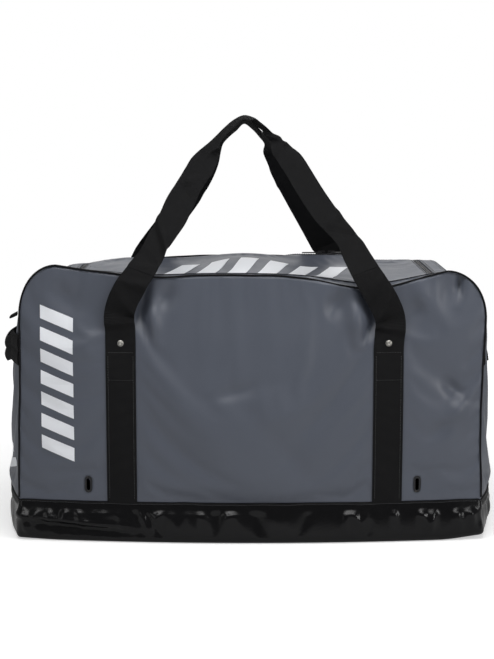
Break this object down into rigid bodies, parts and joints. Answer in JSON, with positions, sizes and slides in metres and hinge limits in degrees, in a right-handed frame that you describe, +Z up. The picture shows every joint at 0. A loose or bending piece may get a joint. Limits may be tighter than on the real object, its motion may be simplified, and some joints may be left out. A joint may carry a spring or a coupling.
{
  "type": "hockey equipment bag",
  "caption": "Large soft carry bag for ice hockey gear, with a zipped top lid, a coated base, webbing carry handles and an end handle at each end.",
  "frame": {"origin": "on the floor under the middle of the bag", "axes": "+X along the bag, -Y is the front, +Z up"},
  "size_m": [0.863, 0.4786, 0.696],
  "materials": {
    "coated_fabric": "coated woven polyester, satin blue-grey",
    "base_pvc": "glossy black PVC-coated fabric",
    "hem_tape": "black folded and stitched band",
    "board": "matte black polyethylene sheet",
    "piping": "black vinyl piping",
    "zipper_tape": "black woven zipper tape",
    "zipper_teeth": "black moulded teeth",
    "zipper_metal": "black enamelled zinc",
    "webbing": "black ribbed nylon webbing",
    "rivet_metal": "dark nickel",
    "eyelet_metal": "black enamelled brass"
  },
  "bodies": {
    "bag": {"front_panel": "coated_fabric", "back_panel": "coated_fabric", "left_end_panel": "coated_fabric", "right_end_panel": "coated_fabric", "top_frame": "coated_fabric", "base_tub": "base_pvc", "base_board": "board", "base_hem": "hem_tape", "front_piping": "piping", "back_piping": "piping", "zip_tape_body": "zipper_tape", "zip_teeth_body": "zipper_teeth", "lid_welt": "piping", "left_grab_handle": "webbing", "right_grab_handle": "webbing", "front_strap_left": "webbing", "front_strap_right": "webbing", "rear_strap_left": "webbing", "rear_strap_right": "webbing", "side_tab": "webbing", "strap_rivets": "rivet_metal", "rivet_washers": "rivet_metal", "vent_eyelets": "eyelet_metal", "vent_rings": "eyelet_metal"},
    "lid": {"lid_panel": "coated_fabric", "zip_tape_lid": "zipper_tape", "zip_teeth_lid": "zipper_teeth"},
    "slider_left": {"slider_left": "zipper_metal"},
    "slider_right": {"slider_right": "zipper_metal"},
    "pull_left": {"pull_left": "zipper_metal"},
    "pull_right": {"pull_right": "zipper_metal"},
    "front_riser": {"front_handle_riser": "webbing"},
    "rear_riser": {"rear_handle_riser": "webbing"},
    "front_loop": {"front_handle_loop": "webbing"},
    "rear_loop": {"rear_handle_loop": "webbing"}
  },
  "joints": [
    {"name": "lid_hinge", "type": "hinge", "parent": "bag", "child": "lid", "pos_m": [0, -0.178, 0.442], "axis": [1, 0, 0], "range_deg": [0, 95]},
    {"name": "slider_left_slide", "type": "slide", "parent": "lid", "child": "slider_left", "axis": [1, 0, 0], "range_m": [-0.36, 0]},
    {"name": "slider_right_slide", "type": "slide", "parent": "lid", "child": "slider_right", "axis": [1, 0, 0], "range_m": [0, 0.08]},
    {"name": "pull_left_flip", "type": "hinge", "parent": "slider_left", "child": "pull_left", "pos_m": [0.131, 0.146, 0.4448], "axis": [0, 1, 0], "range_deg": [0, 145]},
    {"name": "pull_right_flip", "type": "hinge", "parent": "slider_right", "child": "pull_right", "pos_m": [0.149, 0.146, 0.4448], "axis": [0, -1, 0], "range_deg": [0, 145]},
    {"name": "front_handle_lean", "type": "hinge", "parent": "bag", "child": "front_riser", "pos_m": [0, -0.2265, 0.341], "axis": [1, 0, 0], "range_deg": [0, 34]},
    {"name": "front_handle_fold", "type": "hinge", "parent": "front_riser", "child": "front_loop", "pos_m": [0, -0.2385, 0.447], "axis": [1, 0, 0], "range_deg": [0, 195]},
    {"name": "rear_handle_lean", "type": "hinge", "parent": "bag", "child": "rear_riser", "pos_m": [0, 0.2265, 0.341], "axis": [-1, 0, 0], "range_deg": [0, 34]},
    {"name": "rear_handle_fold", "type": "hinge", "parent": "rear_riser", "child": "rear_loop", "pos_m": [0, 0.2385, 0.447], "axis": [-1, 0, 0], "range_deg": [0, 195]}
  ],
  "couplings": [
    {"joint": "front_handle_lean", "follows": "lid_hinge", "ratio": 0.35},
    {"joint": "rear_handle_lean", "follows": "lid_hinge", "ratio": 0.35}
  ]
}
